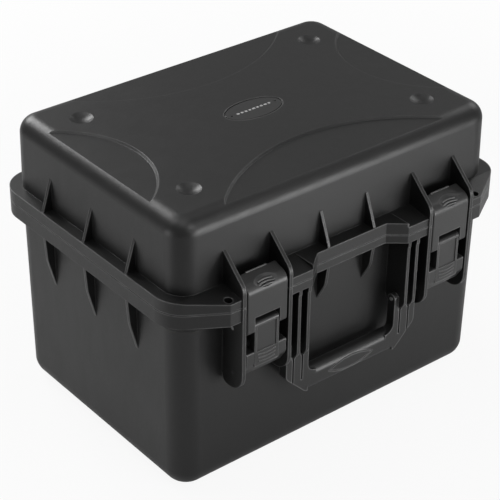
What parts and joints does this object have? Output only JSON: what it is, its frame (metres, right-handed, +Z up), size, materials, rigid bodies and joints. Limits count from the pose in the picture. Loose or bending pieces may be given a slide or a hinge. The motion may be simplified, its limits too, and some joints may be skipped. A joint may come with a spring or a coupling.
{
  "type": "drone carrying case",
  "caption": "Black hard-shell drone carrying case with hinged lid, two draw latches, folding bail handle, padlock holes and cut foam inside.",
  "frame": {"origin": "centre of the closed case in plan, at the plane its feet stand on", "axes": "+X to the right when facing the latches, +Y to the rear hinges, +Z up"},
  "size_m": [0.36, 0.289, 0.2655],
  "materials": {
    "shell": "fine moulded texture",
    "latch": "fine satin",
    "badge": "satin",
    "steel": "ground pin",
    "seal": "smooth",
    "foam": "open-cell foam"
  },
  "bodies": {
    "base": {"base_shell": "shell", "hinge_pins": "steel", "link_pins": "steel", "handle_pins": "steel", "fin_studs": "steel", "base_foam_pad": "foam", "foam_insert": "foam", "valve_body": "latch", "valve_seal": "seal", "valve_nut": "latch"},
    "lid": {"lid_shell": "shell", "lid_seal": "seal", "lid_badge": "badge", "lid_foam": "foam"},
    "latch_left_link": {"latch_link_left": "latch", "lever_pin_left": "steel"},
    "latch_left_lever": {"latch_lever_left": "latch"},
    "latch_right_link": {"latch_link_right": "latch", "lever_pin_right": "steel"},
    "latch_right_lever": {"latch_lever_right": "latch"},
    "handle": {"carry_handle": "latch"}
  },
  "joints": [
    {"name": "lid_hinge", "type": "hinge", "parent": "base", "child": "lid", "pos_m": [0, 0.138, 0.188], "axis": [-1, 0, 0], "range_deg": [0, 100]},
    {"name": "latch_left_link_hinge", "type": "hinge", "parent": "base", "child": "latch_left_link", "pos_m": [-0.1007, -0.1317, 0.12], "axis": [1, 0, 0], "range_deg": [0, 75]},
    {"name": "latch_left_lever_hinge", "type": "hinge", "parent": "latch_left_link", "child": "latch_left_lever", "pos_m": [-0.1007, -0.1313, 0.163], "axis": [1, 0, 0], "range_deg": [0, 60]},
    {"name": "latch_right_link_hinge", "type": "hinge", "parent": "base", "child": "latch_right_link", "pos_m": [0.1007, -0.1317, 0.12], "axis": [1, 0, 0], "range_deg": [0, 75]},
    {"name": "latch_right_lever_hinge", "type": "hinge", "parent": "latch_right_link", "child": "latch_right_lever", "pos_m": [0.1007, -0.1313, 0.163], "axis": [1, 0, 0], "range_deg": [0, 60]},
    {"name": "handle_hinge", "type": "hinge", "parent": "base", "child": "handle", "pos_m": [0, -0.1317, 0.12], "axis": [-1, 0, 0], "range_deg": [0, 90]}
  ]
}
